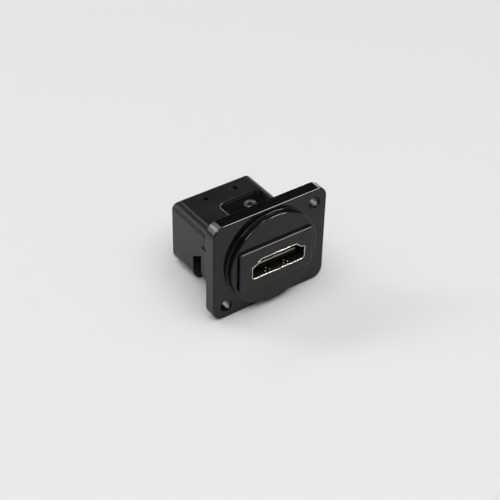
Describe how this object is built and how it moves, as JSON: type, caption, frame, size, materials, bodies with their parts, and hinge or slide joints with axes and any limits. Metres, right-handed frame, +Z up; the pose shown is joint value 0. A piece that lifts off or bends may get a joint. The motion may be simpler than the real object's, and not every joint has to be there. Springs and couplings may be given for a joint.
{
  "type": "hdmi socket",
  "caption": "Black panel feed-through socket with a cornered flange, a round front disc, a raised bezel and a receptacle at the front and at the back of a boxed housing.",
  "frame": {"origin": "centre of the object's footprint, on the level of the lower edge of the flange and the floor of the housing, on which it stands", "axes": "+X along the flange's long side to the right as seen from the front, +Y from the front receptacle to the rear one, +Z up"},
  "size_m": [0.031, 0.0268, 0.026],
  "materials": {
    "frame_black": "satin black moulding",
    "bezel_black": "satin black moulding",
    "housing_black": "satin black moulding",
    "screw_black": "blackened steel",
    "shell_metal": "bright nickel plate",
    "insulator_black": "matt black",
    "contact_gold": "gold plate",
    "board_black": "dark solder mask"
  },
  "bodies": {
    "root": {"flange_frame": "frame_black", "front_bezel": "bezel_black", "rear_housing": "housing_black", "strap_screw": "screw_black", "front_shell": "shell_metal", "front_insulator": "insulator_black", "rear_shell": "shell_metal", "rear_insulator": "insulator_black", "link_board": "board_black", "front_contact_01": "contact_gold", "front_contact_02": "contact_gold", "front_contact_03": "contact_gold", "front_contact_04": "contact_gold", "front_contact_05": "contact_gold", "front_contact_06": "contact_gold", "front_contact_07": "contact_gold", "front_contact_08": "contact_gold", "front_contact_09": "contact_gold", "front_contact_10": "contact_gold", "front_contact_11": "contact_gold", "front_contact_12": "contact_gold", "front_contact_13": "contact_gold", "front_contact_14": "contact_gold", "front_contact_15": "contact_gold", "front_contact_16": "contact_gold", "front_contact_17": "contact_gold", "front_contact_18": "contact_gold", "front_contact_19": "contact_gold", "rear_contact_01": "contact_gold", "rear_contact_02": "contact_gold", "rear_contact_03": "contact_gold", "rear_contact_04": "contact_gold", "rear_contact_05": "contact_gold", "rear_contact_06": "contact_gold", "rear_contact_07": "contact_gold", "rear_contact_08": "contact_gold", "rear_contact_09": "contact_gold", "rear_contact_10": "contact_gold", "rear_contact_11": "contact_gold", "rear_contact_12": "contact_gold", "rear_contact_13": "contact_gold", "rear_contact_14": "contact_gold", "rear_contact_15": "contact_gold", "rear_contact_16": "contact_gold", "rear_contact_17": "contact_gold", "rear_contact_18": "contact_gold", "rear_contact_19": "contact_gold"}
  },
  "joints": []
}
